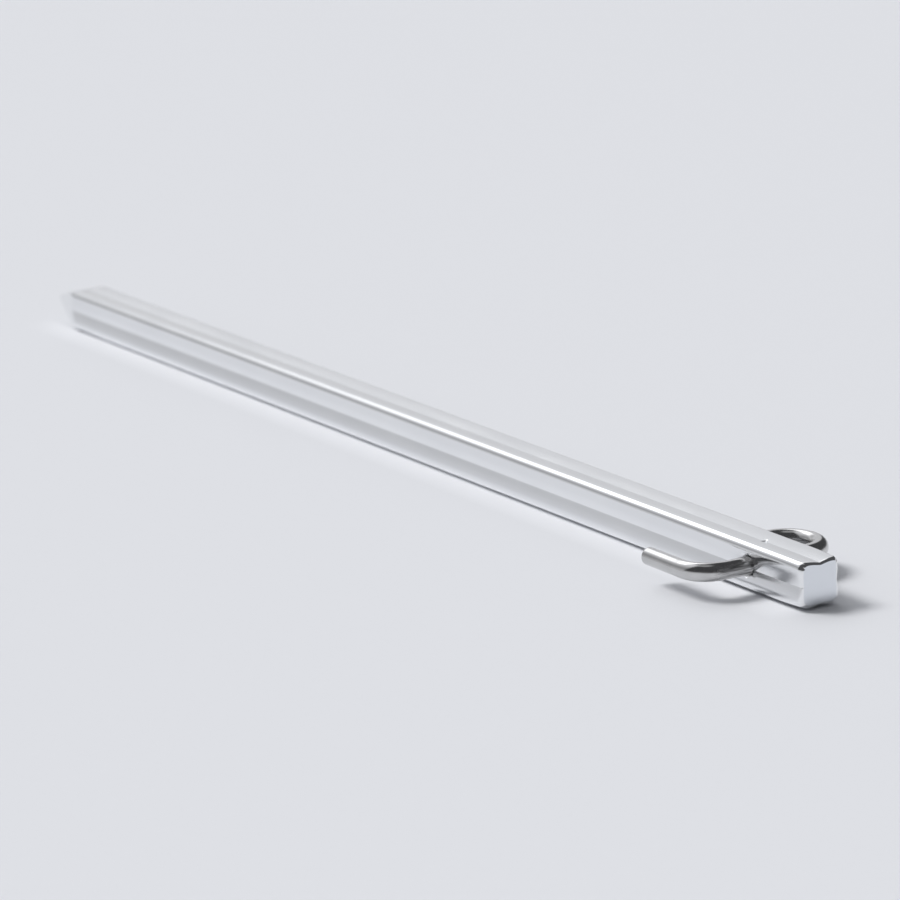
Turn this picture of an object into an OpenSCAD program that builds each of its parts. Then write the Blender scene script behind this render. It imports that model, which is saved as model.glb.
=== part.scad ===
// Tent stake: a grooved square bar with a pyramid point, and one bent round
// wire that passes through a cross hole near the head. The wire is a guy-line
// hook on one side of the bar and a pull eye on the other.
// Axes: origin at the centre of the flat head face, +X out of the head,
// the point towards -X, the hook on -Y, the eye on +Y, +Z up when it lies flat.

/* [Shank] */
// overall length, head face to point
stake_len = 300; // [150:1:420]
// side of the square bar
bar_w = 9.5; // [7:0.1:10]
// radius of the four long corners
corner_r = 1.4; // [0.6:0.1:2]
// flat strip beside each corner, between the rounding and the groove
land_w = 0.35; // [0.1:0.05:1]
// depth of the shallow V groove in each side
groove_d = 0.5; // [0.2:0.05:1]
// width of the chamfer around the head face, measured across the face
head_chamfer_w = 0.8; // [0.3:0.05:1.2]
// length of that chamfer along the bar
head_chamfer_l = 0.4; // [0.2:0.05:1.2]
// length of the four-sided point
tip_len = 15; // [6:0.5:30]
// width left at the very end of the point
tip_flat = 0.6; // [0.3:0.1:2]

/* [Cross hole] */
// distance of the hole axis from the head face
pin_x = 16.8; // [12:0.1:26]
// height of the hole axis above the bar axis
pin_z = 0.4; // [0:0.05:0.6]
// gap between wire and hole, on the radius
hole_gap = 0.05; // [0.02:0.01:0.2]
// size of the chamfer at each mouth of the hole
mouth_chamfer = 0.25; // [0.1:0.05:0.6]
// approximate diameter of the punch marks that lock the wire
punch_d = 1.5; // [0.6:0.1:2]
// depth of the punch marks
punch_depth = 0.45; // [0.1:0.05:0.8]

/* [Wire] */
// diameter of the wire
wire_d = 3.5; // [2:0.1:4]
// distance of the hook's straight arm from the bar axis
hook_reach = 15.4; // [11:0.1:22]
// bend radius of the hook, at the wire axis
hook_bend_r = 5.3; // [3:0.1:8]
// distance of the hook's cut end from the head face
hook_end_x = 33.1; // [28:0.1:60]
// bend radius of the eye, at the wire axis
eye_r = 6; // [5:0.1:6.4]
// distance of the eye's centre from the bar axis
eye_y = 9.4; // [9.3:0.1:14]
// angle the eye is wound through
eye_turn = 216; // [190:1:218]
// small edge break at the hook's cut end
end_break = 0.2; // [0.05:0.05:0.5]

/* [Hidden] */
$fn = 64;
overcut = 1; // how far cutting shapes run past the bar
quarter_turns = [0, 90, 180, 270];

// Bar section, measured from the bar axis
half = bar_w / 2;
flat_at = half - corner_r; // the rounding ends and the flat strip begins
groove_at = flat_at - land_w; // edge of the groove
groove_floor = half - groove_d;
tip_start_x = -stake_len + tip_len;

// Hole and punch marks
wire_r = wire_d / 2;
hole_r = wire_r + hole_gap;
mouth_cone_h = 4 * mouth_chamfer; // 45 degree cone, mostly outside the bar
punch_tip_r = 0.05;
top_punch_shift = -0.4; // along X from the hole axis
side_punch_shift = 0.3;
side_punch_inset = 0.1; // surface of the mark, in from the bar's full width
side_punch_rise = 0.8; // above the top of the wire

// Wire path
hook_bend_x = -pin_x - hook_bend_r;
hook_bend_y = -hook_reach + hook_bend_r;
eye_x = -pin_x - eye_r;
arm_rod_len = hook_end_x - pin_x - hook_bend_r - end_break;

// Outline of the bar's cross-section: square, round corners, a V in each side.
module bar_section() {
  difference() {
    union() {
      square([bar_w, 2 * flat_at], center = true);
      square([2 * flat_at, bar_w], center = true);
      for (turn = quarter_turns)
        rotate(turn) translate([flat_at, flat_at]) circle(r = corner_r);
    }
    for (turn = quarter_turns)
      rotate(turn)
        polygon([[groove_at, half], [groove_at, half + overcut],
                 [-groove_at, half + overcut], [-groove_at, half],
                 [0, groove_floor]]);
  }
}

// Side outline of the bar, x along it: chamfered head, pointed far end.
module bar_profile() {
  polygon([[0, -half + head_chamfer_w], [0, half - head_chamfer_w],
           [-head_chamfer_l, half], [tip_start_x, half],
           [-stake_len, tip_flat / 2], [-stake_len, -tip_flat / 2],
           [tip_start_x, -half], [-head_chamfer_l, -half]]);
}

// The side outline as a slab along Z, a little thicker than the bar.
module profile_slab() {
  linear_extrude(height = bar_w + 2 * overcut, center = true) bar_profile();
}

// Cross hole along Y with a small chamfer at each mouth.
module cross_hole() {
  translate([-pin_x, 0, pin_z]) rotate([90, 0, 0]) {
    cylinder(r = hole_r, h = bar_w + 2 * overcut, center = true);
    for (turn = [0, 180])
      rotate([turn, 0, 0]) translate([0, 0, groove_floor - mouth_chamfer])
        cylinder(r1 = hole_r, r2 = hole_r + mouth_cone_h, h = mouth_cone_h);
  }
}

// One punch mark, pointing down, its tip at the origin. The cone is twice
// as tall as the mark is deep, so it clears the surface.
module punch_mark() {
  cylinder(r1 = punch_tip_r, r2 = punch_d, h = 2 * punch_depth);
}

module shank() {
  color("silver")
  difference() {
    // the section runs the full length; two crossed slabs shape its ends
    intersection() {
      translate([-stake_len - overcut, 0, 0]) rotate([90, 0, 90])
        linear_extrude(height = stake_len + 2 * overcut) bar_section();
      rotate([90, 0, 0]) profile_slab();
      profile_slab();
    }
    cross_hole();
    // above the wire, in the bottom of the top groove
    translate([-pin_x + top_punch_shift, 0, groove_floor - punch_depth])
      punch_mark();
    // just above the mouth of the hole on the hook side
    translate([-pin_x + side_punch_shift,
               -half + side_punch_inset + punch_depth,
               pin_z + wire_r + side_punch_rise])
      rotate([90, 0, 0]) punch_mark();
  }
}

// Straight piece of wire along +Z, both ends square.
module rod(len) {
  cylinder(r = wire_r, h = len);
}

// Bent piece of wire around the Z axis, starting on +X.
module bend(radius, turn) {
  rotate_extrude(angle = turn) translate([radius, 0]) circle(r = wire_r);
}

// Cut end of the hook along +Z, with its edge broken.
module cut_end() {
  cylinder(r1 = wire_r, r2 = wire_r - end_break, h = end_break);
}

module hook_wire() {
  color("lightsteelblue")
  translate([0, 0, pin_z]) {
    // through the bar, from the hook bend to the start of the eye
    translate([-pin_x, hook_bend_y, 0]) rotate([-90, 0, 0])
      rod(eye_y - hook_bend_y);
    // hook bend, a quarter turn
    translate([hook_bend_x, hook_bend_y, 0]) rotate([0, 0, -90])
      bend(hook_bend_r, 90);
    // straight arm of the hook, towards the point
    translate([hook_bend_x, -hook_reach, 0]) rotate([0, -90, 0]) {
      rod(arm_rod_len);
      translate([0, 0, arm_rod_len]) cut_end();
    }
    // eye, wound round until its cut end almost meets the bar
    translate([eye_x, eye_y, 0]) bend(eye_r, eye_turn);
  }
}

shank();
hook_wire();
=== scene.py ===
"""A square aluminium stake with a steel wire through it, lying on pale paper.

The bar lies along X, its head face at x = 0 and its point at -X, with a shallow groove down each
face. The wire's arm runs along X on the -Y side (the hook side), bends into a leg that passes
through the bar along Y, and curls into an eye on the +Y side. Geometry is worked out in mm.
"""
import math

import bmesh
import bpy
import numpy as np
from mathutils import Matrix, Vector


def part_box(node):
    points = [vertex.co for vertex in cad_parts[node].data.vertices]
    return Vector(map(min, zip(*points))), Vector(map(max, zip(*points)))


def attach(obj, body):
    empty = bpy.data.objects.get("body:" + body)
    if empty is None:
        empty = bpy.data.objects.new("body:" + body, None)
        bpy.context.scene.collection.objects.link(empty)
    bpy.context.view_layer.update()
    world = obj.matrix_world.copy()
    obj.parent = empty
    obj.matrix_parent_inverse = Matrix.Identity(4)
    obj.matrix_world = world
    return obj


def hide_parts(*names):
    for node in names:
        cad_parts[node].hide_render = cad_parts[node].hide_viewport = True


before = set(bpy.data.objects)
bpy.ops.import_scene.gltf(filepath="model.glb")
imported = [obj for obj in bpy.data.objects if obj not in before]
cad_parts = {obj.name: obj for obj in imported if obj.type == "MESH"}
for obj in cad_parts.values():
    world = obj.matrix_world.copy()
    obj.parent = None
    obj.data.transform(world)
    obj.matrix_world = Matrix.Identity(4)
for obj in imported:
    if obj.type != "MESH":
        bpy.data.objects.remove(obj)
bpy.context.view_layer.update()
scene = bpy.context.scene
MM = 0.001
QUARTER = math.pi / 2

# ---------------------------------------------------------------- sizes in mm, from the CAD boxes
bar_lo, bar_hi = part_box("shank")
wire_lo, wire_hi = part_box("hook_wire")
LENGTH = (bar_hi.x - bar_lo.x) / MM
HALF = (bar_hi.y - bar_lo.y) / 2 / MM  # half the bar's width
FLOOR_Z = bar_lo.z  # metres

CORNER_R = 1.4
GROOVE = 0.5  # depth of the groove down each face
GROOVE_FILLET = 0.16
LEVEL_AT = 3.3  # distance from a face's middle where its flank is level again
FLANK_POWER = 2.5  # how fast the flank gets there
TIP_LENGTH = 15.0
TIP_HALF = 0.3
TIP_EDGE_R = 0.28

WIRE_R = (wire_hi.z - wire_lo.z) / 2 / MM
WIRE_Z = (wire_hi.z + wire_lo.z) / 2 / MM
TILT = -0.02  # the wire leans a little out of the horizontal: rise in Z per unit of Y
LEG_X = wire_hi.x / MM - WIRE_R
ARM_Y = wire_lo.y / MM + WIRE_R
ARM_END_X = wire_lo.x / MM
BEND_R = 5.3
EYE_R = 6.0
EYE_Y = wire_hi.y / MM - WIRE_R - EYE_R
EYE_TURN = math.radians(216)
WIRE_EDGE = 0.26  # length of the rolled edge at each cut end
HOLE_R = WIRE_R + 0.05

# Rings between these stations may carry the marks round the hole
MARKS_START, MARKS_END = -20.6, -11.8

# Metal pushed round the mouth on the hook side:
# offset along x from the leg, offset in z from the wire, radius in x, radius in z, height outwards
MOUTH_MARKS = (
    (2.3, 1.55, 1.5, 0.8, -0.26),
    (-0.25, 2.15, 0.42, 0.4, -0.2),
    (0.95, 2.3, 0.75, 0.42, 0.2),
    (2.0, -0.9, 1.1, 0.9, -0.12),
)


def wire_z(y):
    return WIRE_Z + TILT * y


# ---------------------------------------------------------------- mesh helpers
def skin(name, rings):
    """Closed smooth mesh through rings of points in mm, each end closed by a fan to its centre."""
    ring_count, ring_size = rings.shape[:2]
    faces = []
    for i in range(ring_count - 1):
        near, far = i * ring_size, (i + 1) * ring_size
        for j in range(ring_size):
            k = (j + 1) % ring_size
            faces.append((near + j, near + k, far + k, far + j))
    first_centre = ring_count * ring_size
    last_ring = first_centre - ring_size
    faces += [(first_centre, (j + 1) % ring_size, j) for j in range(ring_size)]
    faces += [(first_centre + 1, last_ring + j, last_ring + (j + 1) % ring_size)
              for j in range(ring_size)]
    points = np.vstack([rings.reshape(-1, 3), rings[0].mean(0), rings[-1].mean(0)])
    mesh = bpy.data.meshes.new(name)
    mesh.from_pydata((points * MM).tolist(), [], faces)
    mesh.validate()
    bm = bmesh.new()
    bm.from_mesh(mesh)
    bmesh.ops.recalc_face_normals(bm, faces=bm.faces)
    bm.to_mesh(mesh)
    bm.free()
    for polygon in mesh.polygons:
        polygon.use_smooth = True
    return link_object(name, mesh)


def link_object(name, data):
    thing = bpy.data.objects.new(name, data)
    scene.collection.objects.link(thing)
    return thing


def dome(radius):
    """Smooth bump, 1 at radius 0 and 0 from radius 1 outwards."""
    return np.where(radius < 1, (1 - radius * radius) ** 2, 0.0)


def smoothstep(value):
    return value * value * (3 - 2 * value)


# ---------------------------------------------------------------- bar section
def half_face():
    """Half of one face, from the groove's bottom to 45 degrees round the corner.

    Rows of (distance across the face, height above the bar's axis, normal across, normal up).
    """
    across = np.linspace(0, LEVEL_AT, 4001)
    step = across[1] - across[0]
    shape = 1 - (across / LEVEL_AT) ** FLANK_POWER
    # find the slope at the groove's bottom that makes the flank climb the groove's depth
    steepest = GROOVE / (LEVEL_AT * FLANK_POWER / (FLANK_POWER + 1))
    for _ in range(20):
        rise = float(np.tan(steepest * shape)[:-1].sum() * step)
        steepest *= GROOVE / rise
    climb = np.cumsum(np.tan(steepest * (shape[1:] + shape[:-1]) / 2)) * step
    heights = HALF - GROOVE + np.concatenate([[0], climb])

    def slope(distance):
        return steepest * (1 - (distance / LEVEL_AT) ** FLANK_POWER)

    def height(distance):
        return float(np.interp(distance, across, heights))

    rows = []
    # small fillet in the groove's bottom
    start = GROOVE_FILLET * math.sin(steepest)
    start_slope = slope(start)
    for angle in np.linspace(0, start_slope, 4):
        rows.append((start * math.sin(angle) / math.sin(start_slope),
                     height(start) + GROOVE_FILLET * (math.cos(start_slope) - math.cos(angle)),
                     -math.sin(angle), math.cos(angle)))
    # flank, with closer points near its level end
    close_from = 2.3
    flank = [*np.linspace(start, close_from, 14)[1:], *np.linspace(close_from, LEVEL_AT, 11)[1:]]
    for distance in flank:
        angle = slope(distance)
        rows.append((distance, height(distance), -math.sin(angle), math.cos(angle)))
    # rounded corner
    inner = HALF - CORNER_R
    for angle in np.linspace(0, math.pi / 4, 12):
        sine, cosine = math.sin(angle), math.cos(angle)
        rows.append((inner + CORNER_R * sine, inner + CORNER_R * cosine, sine, cosine))
    return np.array(rows)


def section():
    """Closed outline: points (y, z), normals, face number (0 is the top), distance across it."""
    half = half_face()
    # the groove's bottom and the 45-degree point shared with the next face come only once
    face = np.vstack([half[-2:0:-1] * (-1, 1, -1, 1), half])
    points, normals = [], []
    for k in range(4):
        cosine, sine = math.cos(-k * QUARTER), math.sin(-k * QUARTER)
        for target, across, up in ((points, face[:, 0], face[:, 1]),
                                   (normals, face[:, 2], face[:, 3])):
            target.append(np.column_stack([across * cosine - up * sine,
                                           across * sine + up * cosine]))
    return (np.vstack(points), np.vstack(normals),
            np.repeat(np.arange(4), len(face)), np.tile(face[:, 0], 4))


OUTLINE, NORMALS, FACE, ACROSS = section()
POLAR_R = np.hypot(OUTLINE[:, 0], OUTLINE[:, 1])
POLAR_ANGLE = np.arctan2(OUTLINE[:, 1], OUTLINE[:, 0])


# ---------------------------------------------------------------- bar along its length
def wear(points, x):
    """Narrow the last 9 mm towards the head, and round the two lower corners all along."""
    near_head = np.clip((np.asarray(x, float) + 9.0) / 9.0, 0, 1) ** 2
    y, z = points[:, 0], points[:, 1]
    shift_y = -near_head * np.where(y > 0, 0.22, 0.16) * y / HALF
    shift_z = -near_head * np.where(z > 0, 0.16, 0.30) * z / HALF  # less on top than underneath
    # lower corners: lifted where the point is far out and far down, and hardly at all at the tip
    out = np.clip((np.abs(y) - 2.5) / 1.5, 0, 1)
    down = np.clip((-z - 1.6) / 2.9, 0, 1)
    size = np.clip(np.hypot(y, z) / HALF, 0, 1)
    shift_z = shift_z + 0.42 * smoothstep(out) * smoothstep(down) * size ** 4
    return points + np.column_stack([shift_y, shift_z])


def tip_half(x):
    """Half width of the point's square at station x; it outgrows the bar past the point."""
    return TIP_HALF + (HALF - TIP_HALF) * (x + LENGTH) / TIP_LENGTH


def square_radius(half):
    """Polar radius, at the section's angles, of a round-cornered square of this half width."""
    corner_r = min(0.3, 0.5 * half)
    from_middle = np.abs((POLAR_ANGLE + math.pi / 4) % QUARTER - math.pi / 4)
    from_corner = math.pi / 4 - from_middle
    flat = half / np.cos(from_middle)
    centre = math.sqrt(2) * (half - corner_r)
    reach = corner_r * corner_r - (centre * np.sin(from_corner)) ** 2
    arc = centre * np.cos(from_corner) + np.sqrt(np.maximum(reach, 0))
    return np.where(half * np.tan(from_middle) <= half - corner_r, flat, arc)


def pointed(half):
    """The section cut down to the point's square, with a soft edge where the two meet."""
    square = square_radius(half)
    softness = 0.13 if half > 1 else 0.03 * half + 0.001
    least = np.minimum(POLAR_R, square)
    excess = np.exp(-(POLAR_R - least) / softness) + np.exp(-(square - least) / softness)
    radius = least - softness * np.log(excess)
    return OUTLINE * (np.maximum(radius, 0.01) / POLAR_R)[:, None]


def mark_hole(points, x):
    """Move a ring's points for the punch mark and the worked metal round the hole's mouths."""
    # punch mark in the top groove, above the leg, with a faint raised rim
    along = x - (LEG_X - 0.45)
    radius = np.hypot(along / (0.3 if along > 0 else 0.36), OUTLINE[:, 0] / 0.75)
    depth = -0.33 * np.maximum(1 - radius, 0) ** 0.9
    rim = 0.02 * dome(np.abs(radius - 1.15) / 0.5)
    points[:, 1] += np.where(FACE == 0, depth + rim, 0)
    # pinched metal round the mouth on the hook side
    hook_side = NORMALS[:, 0] < -0.9
    for offset_x, offset_z, radius_x, radius_z, height in MOUTH_MARKS:
        radius = np.hypot((x - (LEG_X + offset_x)) / radius_x,
                          (OUTLINE[:, 1] - (wire_z(-HALF) + offset_z)) / radius_z)
        points[:, 0] -= np.where(hook_side, height * dome(radius), 0)
    # the mouth on the eye side, pushed in a little
    eye_side = NORMALS[:, 0] > 0.9
    radius = np.hypot((x - LEG_X) / 2.6, (OUTLINE[:, 1] - wire_z(HALF)) / 2.3)
    points[:, 0] -= np.where(eye_side, 0.10 * dome(radius), 0)


def bar_ring(x, half):
    points = pointed(half) if half < HALF + 1.5 else OUTLINE.copy()
    points = wear(points, x)
    if MARKS_START < x < MARKS_END:
        mark_hole(points, x)
    return np.column_stack([np.full(len(points), x), points])


def head_rings():
    """Rounded edge round the head, crisp where it meets the flat, then the flat itself."""
    # radius of the rounding at each point of the section
    normal_y, normal_z = NORMALS.T
    size = np.abs(OUTLINE)
    corner = np.clip((size.min(1) / HALF - 0.25) / 0.664, 0, 1)
    sunk = np.clip((HALF - size.max(1)) / GROOVE, 0, 1)
    sunk = np.where(np.abs(ACROSS) < LEVEL_AT, sunk, 0.0)
    radius = (np.where(normal_y < 0, 1.0, 1.35) * normal_y ** 2
              + np.where(normal_z > 0, 0.6, 1.15) * normal_z ** 2)
    # tighter in the grooves, least so on top, and wider at the corners
    radius = radius - sunk * np.where(FACE == 0, 0.1, 0.5) + 0.55 * corner ** 3
    radius = np.clip(radius, 0.3, 1.38)

    # (distance behind the head face, inset), both as shares of the radius
    stop = math.radians(80)
    stations = [(1 - math.sin(angle) / math.sin(stop), 1 - math.cos(angle))
                for angle in np.linspace(0, stop, 16)]
    stations += [(0.0, 1 - math.cos(stop) + extra) for extra in (0.02, 0.06)]
    rings = []
    for behind, inset in stations:
        x = -behind * radius
        points = wear(OUTLINE - NORMALS * (inset * radius)[:, None], x)
        rings.append(np.column_stack([x, points]))
    rim = rings[-1]
    for share in (0.9, 0.7, 0.5, 0.3, 0.12):
        rings.append(rim * (1, share, share))
    return rings


def bar_rings():
    rings = []
    # blunt end of the point
    for angle in np.linspace(0, 1, 7) * QUARTER:
        x = -LENGTH + TIP_EDGE_R * (1 - math.cos(angle))
        half = tip_half(x) - TIP_EDGE_R * (1 - math.sin(angle))
        rings.append(bar_ring(x, max(half, 0.02)))
    # stations are close together where the point runs into the bar and round the hole
    shoulder = -LENGTH + TIP_LENGTH
    stations = np.concatenate([
        np.arange(-LENGTH + 0.6, shoulder - 3.2, 0.45),
        np.arange(shoulder - 3.0, shoulder + 1.2, 0.1),
        [shoulder + 2, shoulder + 4],
        np.arange(shoulder + 8, -26, 4.0),
        np.arange(-25, -20.6, 0.5),
        np.arange(-20.5, -11.9, 0.13),
        np.arange(-11.5, -2.9, 0.5),
        [-2.6, -2.2, -1.9],
    ])
    rings += [bar_ring(x, tip_half(x)) for x in stations]
    return np.array(rings + head_rings())


def build_hole_cutter():
    """Solid of revolution along the leg, flared at both mouths of the hole."""
    wall = HALF - GROOVE
    # (distance from the bar's axis, radius), from outside inwards
    mouth = [
        (HALF + 3, HOLE_R + 1.1), (HALF + 0.4, HOLE_R + 1.1), (wall + 0.05, HOLE_R + 0.34),
        (wall - 0.08, HOLE_R + 0.16), (wall - 0.2, HOLE_R + 0.05), (wall - 0.38, HOLE_R),
    ]
    profile = [(-distance, radius) for distance, radius in mouth] + [(0, HOLE_R)] + mouth[::-1]
    origin = Vector((LEG_X, 0, wire_z(0)))
    axis = Vector((0, 1, TILT)).normalized()
    side = axis.orthogonal().normalized()
    other = axis.cross(side)
    segments = 96
    angles = [2 * math.pi * k / segments for k in range(segments)]
    rings = [
        [tuple(origin + axis * distance
               + (side * math.cos(angle) + other * math.sin(angle)) * radius)
         for angle in angles]
        for distance, radius in profile]
    return skin("hole_cutter", np.array(rings))


def build_bar():
    bar = skin("stake_bar", bar_rings())
    cutter = build_hole_cutter()
    hole = bar.modifiers.new("hole", "BOOLEAN")
    hole.operation = "DIFFERENCE"
    hole.object = cutter
    hole.solver = "EXACT"
    # put the cut mesh in place of the modifier
    graph = bpy.context.evaluated_depsgraph_get()
    cut = bpy.data.meshes.new_from_object(bar.evaluated_get(graph), depsgraph=graph)
    bar.modifiers.clear()
    uncut = bar.data
    bar.data = cut
    bpy.data.meshes.remove(uncut)
    bpy.data.objects.remove(cutter)
    bar.data.set_sharp_from_angle(angle=math.radians(34))
    return bar


# ---------------------------------------------------------------- wire
def wire_path():
    """Centre line of the wire: rows of (x, y, direction x, direction y, how strongly bent)."""
    def fade(distance):
        """Bent share on a straight, fading out 2 mm from the bend."""
        return 0.5 * max(0.0, 1 - distance / 2.0) ** 2

    path = []
    bend_x, bend_y = LEG_X - BEND_R, ARM_Y + BEND_R
    # arm
    for x in np.linspace(ARM_END_X + WIRE_EDGE, bend_x, 40)[:-1]:
        path.append((x, ARM_Y, 1, 0, fade(bend_x - x)))
    # bend
    for angle in np.linspace(0, QUARTER, 60):
        sine, cosine = math.sin(angle), math.cos(angle)
        path.append((bend_x + BEND_R * sine, bend_y - BEND_R * cosine, cosine, sine,
                     0.5 + 0.5 * math.sin(2 * angle)))
    # leg through the bar
    for y in np.linspace(bend_y, EYE_Y, 90)[1:-1]:
        path.append((LEG_X, y, 0, 1, fade(y - bend_y) + fade(EYE_Y - y)))
    # eye
    turn = EYE_TURN - WIRE_EDGE / EYE_R
    for angle in np.linspace(0, turn, 150):
        sine, cosine = math.sin(angle), math.cos(angle)
        path.append((LEG_X - EYE_R + EYE_R * cosine, EYE_Y + EYE_R * sine, -sine, cosine,
                     0.5 + 0.5 * min(1, angle * 3, (turn - angle) * 3)))
    return path


def wire_ring(station, scale=1, shift=0):
    """Ring at a path station, scaled, and shifted along the wire; bends squash it a little."""
    x, y, direction_x, direction_y, bent = station
    angles = np.linspace(0, 2 * math.pi, 72, endpoint=False)
    side = np.array([direction_y, -direction_x, 0.0])
    up = np.array([0, 0, 1.0])
    width = WIRE_R * scale * (1 - 0.02 * bent)
    height = WIRE_R * scale * (1 + 0.045 * bent)
    centre = np.array([x + direction_x * shift, y + direction_y * shift, 0.0])
    ring = centre + np.outer(np.cos(angles) * width, side) + np.outer(np.sin(angles) * height, up)
    ring[:, 2] += wire_z(ring[:, 1])
    return ring


def build_wire():
    path = wire_path()
    # cut end, flat with a small rolled edge: (scale, shift outwards), from the flat to the wire
    cut_end = [(0.3, 0.255), (0.6, 0.257)]
    cut_end += [(1 - 0.16 * (1 - math.sin(angle)), WIRE_EDGE * math.cos(angle))
                for angle in np.linspace(0, QUARTER, 7)[:-1]]
    rings = [wire_ring(path[0], scale, -shift) for scale, shift in cut_end]
    rings += [wire_ring(station) for station in path]
    rings += [wire_ring(path[-1], scale, shift) for scale, shift in reversed(cut_end)]
    wire = skin("hook_and_eye_wire", np.array(rings))
    wire.data.set_sharp_from_angle(angle=math.radians(50))
    return wire


bar = build_bar()
wire = build_wire()


# ---------------------------------------------------------------- shader helpers
class Nodes:
    """Short calls for building one node tree; each returns an output socket."""

    def __init__(self, tree):
        self.tree = tree
        tree.nodes.clear()

    def add(self, kind):
        return self.tree.nodes.new("ShaderNode" + kind)

    def feed(self, socket, value):
        """Link a socket, or set it to a number or to an RGB colour."""
        if isinstance(value, bpy.types.NodeSocket):
            self.tree.links.new(value, socket)
        elif isinstance(value, tuple):
            socket.default_value = (*value, 1)
        else:
            socket.default_value = value

    def split(self, vector):
        node = self.add("SeparateXYZ")
        self.feed(node.inputs[0], vector)
        return node.outputs

    def noise(self, coords, stretch, scale=1.0, detail=3.0, roughness=0.5):
        mapping = self.add("Mapping")
        mapping.inputs["Scale"].default_value = stretch
        self.feed(mapping.inputs["Vector"], coords)
        node = self.add("TexNoise")
        self.feed(node.inputs["Scale"], scale)
        self.feed(node.inputs["Detail"], detail)
        self.feed(node.inputs["Roughness"], roughness)
        self.feed(node.inputs["Vector"], mapping.outputs[0])
        return node.outputs[0]

    def remap(self, value, source, result=(0.0, 1.0), smooth=False):
        """Carry the source range over to the result range, clamped."""
        node = self.add("MapRange")
        if smooth:
            node.interpolation_type = "SMOOTHSTEP"
        for i, number in enumerate((value, *source, *result)):
            self.feed(node.inputs[i], number)
        return node.outputs[0]

    def math(self, operation, *values):
        node = self.add("Math")
        node.operation = operation
        for i, value in enumerate(values):
            self.feed(node.inputs[i], value)
        return node.outputs[0]

    def product(self, first, *others):
        for other in others:
            first = self.math("MULTIPLY", first, other)
        return first

    def mix(self, factor, base, over):
        node = self.add("Mix")
        node.data_type = "RGBA"
        for i, value in ((0, factor), (6, base), (7, over)):
            self.feed(node.inputs[i], value)
        return node.outputs[2]

    def bump(self, height, strength, distance, normal=None):
        node = self.add("Bump")
        self.feed(node.inputs["Strength"], strength)
        self.feed(node.inputs["Distance"], distance)
        self.feed(node.inputs["Height"], height)
        if normal is not None:
            self.feed(node.inputs["Normal"], normal)
        return node.outputs[0]


def new_material(name):
    """Material with one Principled surface, its nodes, its object coordinates, and a setter."""
    material = bpy.data.materials.new(name)
    material.use_nodes = True
    nodes = Nodes(material.node_tree)
    output = nodes.add("OutputMaterial")
    surface = nodes.add("BsdfPrincipled")
    nodes.feed(output.inputs[0], surface.outputs[0])
    coords = nodes.add("TexCoord").outputs["Object"]

    def set_surface(**values):
        for key, value in values.items():
            nodes.feed(surface.inputs[key.replace("_", " ")], value)

    return material, nodes, coords, set_surface


# ---------------------------------------------------------------- materials (places in metres)
def bar_material():
    material, nodes, coords, set_surface = new_material("bright_drawn_aluminium")
    # draw lines along the bar
    lines = nodes.noise(coords, stretch=(8, 900, 900), scale=6.0, detail=4.0, roughness=0.6)
    cloud = nodes.noise(coords, stretch=(60, 260, 260))
    fine = nodes.noise(coords, stretch=(2500, 5000, 5000), detail=2.0)
    color = nodes.mix(nodes.remap(cloud, source=(0.3, 0.7)),
                      base=(0.845, 0.853, 0.865), over=(0.88, 0.887, 0.895))
    # painted highlight: the rounded edge round the head is painted lighter than the bar
    x = nodes.split(coords)["X"]
    edge = nodes.remap(x, source=(-0.0011, -0.0005))
    color = nodes.mix(edge, base=color, over=(0.93, 0.935, 0.94))
    # painted shade: the flat head face is painted darker and a little bluer than the bar
    face = nodes.remap(x, source=(-0.00006, -0.00001))
    color = nodes.mix(face, base=color, over=(0.775, 0.80, 0.835))
    line_roughness = nodes.remap(lines, source=(0.3, 0.7), result=(0.10, 0.16))
    cloud_roughness = nodes.remap(cloud, source=(0.3, 0.7), result=(-0.02, 0.03))
    normal = nodes.bump(lines, strength=0.10, distance=0.00002)
    normal = nodes.bump(fine, strength=0.05, distance=0.00001, normal=normal)
    set_surface(Base_Color=color, Metallic=1.0, Normal=normal,
                Roughness=nodes.math("ADD", line_roughness, cloud_roughness))
    return material


def wire_material():
    material, nodes, coords, set_surface = new_material("polished_stainless_wire")
    cloud = nodes.noise(coords, stretch=(300, 300, 300))
    fine = nodes.noise(coords, stretch=(2200, 2200, 2200), detail=2.0)
    color = nodes.mix(nodes.remap(cloud, source=(0.3, 0.7)),
                      base=(0.58, 0.578, 0.575), over=(0.65, 0.645, 0.64))
    # dark streaks on the leg beside the bar: partly marks from the press that closed the hole
    # round it, partly painted shade on the leg below its top
    place = nodes.split(coords)
    leg = nodes.product(nodes.remap(place["Y"], source=(-0.0130, -0.0114)),
                        nodes.remap(place["Y"], source=(0.0, -0.002)),
                        nodes.remap(place["Z"], source=(0.0020, 0.0017)))
    marks_and_shade = nodes.noise(coords, stretch=(1500, 110, 1500), detail=2.0, roughness=0.6)
    streaks_and_shade = nodes.product(nodes.remap(marks_and_shade, source=(0.52, 0.40), result=(0.0, 0.75)), leg)
    # press marks with painted shade: the leg's lower side is darkened in colour
    color = nodes.mix(streaks_and_shade, base=color, over=(0.16, 0.157, 0.155))
    polish = nodes.remap(fine, source=(0.3, 0.7), result=(0.14, 0.20))
    leg_roughness = nodes.product(leg, 0.18)
    normal = nodes.bump(cloud, strength=0.12, distance=0.0001)
    normal = nodes.bump(nodes.product(marks_and_shade, leg), strength=0.8, distance=0.00012, normal=normal)
    normal = nodes.bump(fine, strength=0.05, distance=0.00001, normal=normal)
    set_surface(Base_Color=color, Metallic=1.0, Normal=normal,
                Roughness=nodes.math("ADD", polish, leg_roughness))
    return material


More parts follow.
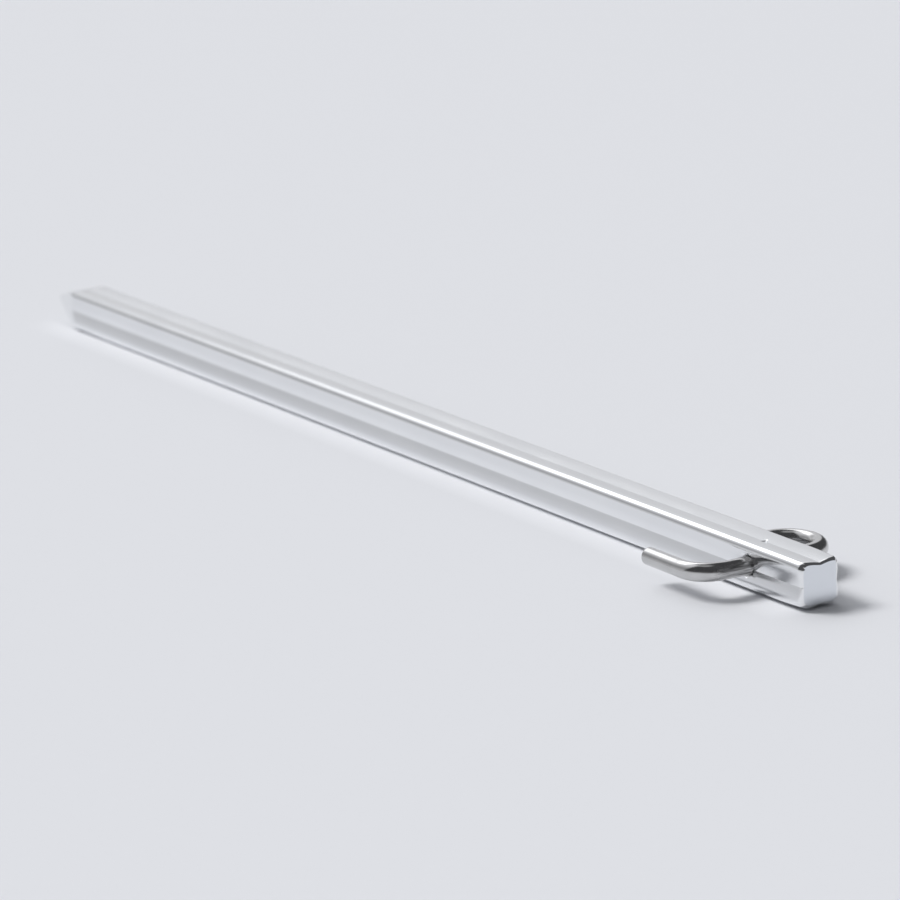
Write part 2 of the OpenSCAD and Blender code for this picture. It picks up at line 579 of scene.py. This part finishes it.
def floor_material():
    material, nodes, coords, set_surface = new_material("pale_paper")
    grain = nodes.noise(coords, stretch=(900, 900, 900), detail=4.0, roughness=0.6)
    color = nodes.mix(grain, base=(0.647, 0.658, 0.690), over=(0.656, 0.667, 0.698))
    # light thrown back by the bright side of the bar, on the floor beside it
    geometry = nodes.add("NewGeometry")
    place = nodes.split(geometry.outputs["Position"])
    beside = nodes.product(nodes.remap(place["Y"], source=(-0.0115, -0.005)),
                           nodes.remap(place["Y"], source=(-0.0035, -0.0045)))
    along = nodes.product(nodes.remap(place["X"], source=(0.001, -0.004)),
                          nodes.remap(place["X"], source=(-0.3, -0.28)))
    color = nodes.mix(nodes.product(beside, along), base=color, over=(0.775, 0.786, 0.82))
    # painted shade: seen in the metal at a flat angle, the floor is painted darker, standing for
    # the light falling off far out across it
    in_metal = nodes.add("LightPath").outputs["Is Glossy Ray"]
    slant = nodes.split(geometry.outputs["Incoming"])["Z"]
    far = nodes.product(nodes.remap(slant, source=(0.16, 0.03)), in_metal)
    color = nodes.mix(far, base=color, over=(0.475, 0.482, 0.503))
    # in the metal, the paper under the bar's lower corner glows from the light passing below it
    glow = nodes.product(
        nodes.remap(place["Y"], source=(-0.0050, -0.0041)),
        nodes.remap(place["Y"], source=(-0.0032, -0.0024), result=(1.0, 0.0)),
        nodes.remap(place["X"], source=(-0.045, -0.28), result=(0.15, 0.38)),
        nodes.remap(place["X"], source=(-0.035, -0.055)),
        nodes.remap(place["X"], source=(-0.290, -0.272)),
        in_metal)
    set_surface(Base_Color=color, Emission_Color=(0.97, 0.98, 1.0), Emission_Strength=glow,
                Roughness=0.9, Specular_IOR_Level=0.15)
    return material


bar.data.materials.append(bar_material())
wire.data.materials.append(wire_material())

for piece, cad_name, slot_name in ((bar, "shank", "bar_aluminium"),
                                   (wire, "hook_wire", "wire_steel")):
    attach(piece, "root")
    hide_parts(cad_name)


# ---------------------------------------------------------------- floor
def build_floor(half_size=6.0):
    corners = [(x * half_size, y * half_size, FLOOR_Z)
               for x, y in ((-1, -1), (1, -1), (1, 1), (-1, 1))]
    mesh = bpy.data.meshes.new("floor")
    mesh.from_pydata(corners, [], [(0, 1, 2, 3)])
    floor = link_object("floor", mesh)
    mesh.materials.append(floor_material())


build_floor()


# ---------------------------------------------------------------- lights
def add_sun(name, energy, spread, color):
    """Sun shining straight down, unseen in reflections; the world's panels stand for it there."""
    data = bpy.data.lights.new(name, "SUN")
    data.energy = energy
    data.angle = math.radians(spread)
    data.color = color
    sun = link_object(name, data)
    sun.visible_glossy = False
    return sun


towards_key = Vector((-0.49, -0.44, 0.75)).normalized()
key = add_sun("key", energy=2.33, spread=22, color=(1.0, 0.99, 0.975))
key.rotation_mode = "QUATERNION"
key.rotation_quaternion = (-towards_key).to_track_quat("-Z", "Y")
add_sun("fill", energy=0.62, spread=170, color=(0.97, 0.985, 1.0))

# ---------------------------------------------------------------- world
# Curves round the bar, in degrees: 0 is level on the eye's side, 90 up, 180 level on the hook's.
# Brightness of the lit side of the room
LIT_SIDE = (
    (0, 0.62), (10, 0.65), (20, 0.68), (30, 0.72), (40, 0.72), (50, 0.76), (60, 0.86),
    (100, 0.88), (112, 0.86), (120, 0.80), (130, 0.66), (138, 0.52), (145, 0.41),
    (152, 0.35), (159, 0.37), (166, 0.46), (174, 0.56), (180, 0.62),
)
# Where the softbox is, round the bar
SOFTBOX_ROUND = ((0, 0), (57, 0), (63, 1), (107, 1), (118, 0), (180, 0))
# Curves along the bar: 0 looks towards -X, 1 towards +X
SOFTBOX_ALONG = (
    (0, 0), (0.068, 0), (0.0785, 0.14), (0.0855, 0.26), (0.0925, 0.34), (0.099, 0.55),
    (0.108, 1), (0.24, 1), (0.29, 0), (1, 0),
)
PAST_SOFTBOX = ((0, 1), (0.068, 1), (0.080, 0), (1, 0))


def build_world():
    world = bpy.data.worlds.new("studio")
    scene.world = world
    world.use_nodes = True
    nodes = Nodes(world.node_tree)
    output = nodes.add("OutputWorld")
    background = nodes.add("Background")
    nodes.feed(output.inputs[0], background.outputs[0])
    direction = nodes.add("TexCoord").outputs["Generated"]
    heading = nodes.split(direction)

    def lobe(centre, inner, outer):
        """1 within inner degrees of centre, falling smoothly to 0 at outer degrees."""
        dot = nodes.add("VectorMath")
        dot.operation = "DOT_PRODUCT"
        nodes.feed(dot.inputs[0], direction)
        dot.inputs[1].default_value = Vector(centre).normalized()
        limits = (math.cos(math.radians(outer)), math.cos(math.radians(inner)))
        return nodes.remap(dot.outputs["Value"], source=limits, smooth=True)

    def curve(value, points, span=1):
        """Piecewise linear, faintly blue curve; the points' positions run from 0 to span."""
        node = nodes.add("ValToRGB")
        elements = node.color_ramp.elements
        while len(elements) < len(points):
            elements.new(0.5)
        # all positions go first, since moving an element can reorder them
        for element, (position, _) in zip(elements, points):
            element.position = position / span
        for element, (_, level) in zip(elements, points):
            element.color = (level * 0.985, level * 0.995, level * 1.03, 1)
        nodes.feed(node.inputs[0], value)
        return node.outputs[0]

    # lit side of the room, with a softbox over it and a darker wall past the softbox's far edge
    angle = nodes.math("ARCTAN2", heading["Z"], heading["Y"])
    half_turns = nodes.math("DIVIDE", angle, math.pi)
    along = nodes.math("MULTIPLY_ADD", heading["X"], 0.5, 0.5)
    lit = curve(half_turns, LIT_SIDE, span=180)
    softbox_round = curve(half_turns, SOFTBOX_ROUND, span=180)
    softbox = nodes.product(softbox_round, curve(along, SOFTBOX_ALONG))
    past = nodes.product(softbox_round, curve(along, PAST_SOFTBOX))
    lit = nodes.mix(past, base=lit, over=(0.60, 0.605, 0.625))

    # dark room, paler near the horizon and most so on the hook's side
    hook_side = nodes.remap(heading["Y"], source=(-0.4, -0.8))
    horizon = nodes.mix(hook_side, base=(0.16, 0.162, 0.17), over=(0.55, 0.555, 0.57))
    low = nodes.remap(heading["Z"], source=(0.18, 0.04), smooth=True)
    room = nodes.mix(low, base=(0.07, 0.071, 0.075), over=horizon)
    # pale ceiling panel straight overhead
    room = nodes.mix(lobe((0, 0, 1), inner=8, outer=17), base=room, over=(0.42, 0.425, 0.435))

    # the lit side ends where the direction leans too far up and towards the eye's side
    lean = nodes.math("MULTIPLY_ADD", heading["Y"], 0.5, nodes.product(heading["Z"], 0.87))
    lit_share = nodes.product(lobe((-0.888, -0.25, 0.385), inner=56, outer=62),
                              nodes.remap(lean, source=(0.88, 0.76), smooth=True))
    sky = nodes.mix(lit_share, base=room, over=lit)
    sky = nodes.mix(softbox, base=sky, over=(2.1, 2.12, 2.16))
    nodes.feed(background.inputs[0], sky)
    nodes.feed(background.inputs[1], 1.0)


build_world()

scene.view_settings.view_transform = "Standard"
scene.view_settings.look = "None"
scene.view_settings.exposure = 0.0
scene.view_settings.gamma = 1.0


# ---------------------------------------------------------------- camera (metres)
def build_camera():
    data = bpy.data.cameras.new("camera")
    data.sensor_width = 36.0
    data.lens = 178.0
    data.clip_start = 0.01
    data.clip_end = 50
    camera = link_object("camera", data)
    right = Vector((0.5361, 0.8434, -0.0359)).normalized()
    up = Vector((-0.2037, 0.1706, 0.964))
    up = (up - right * up.dot(right)).normalized()
    pose = Matrix((right, up, right.cross(up))).transposed().to_4x4()
    pose.translation = (0.62715, -0.46902, 0.24108)
    camera.matrix_world = pose
    focus = link_object("focus", None)
    focus.location = (-0.02, -0.004, 0.0)
    data.dof.use_dof = True
    data.dof.focus_object = focus
    data.dof.aperture_fstop = 40
    scene.camera = camera


build_camera()
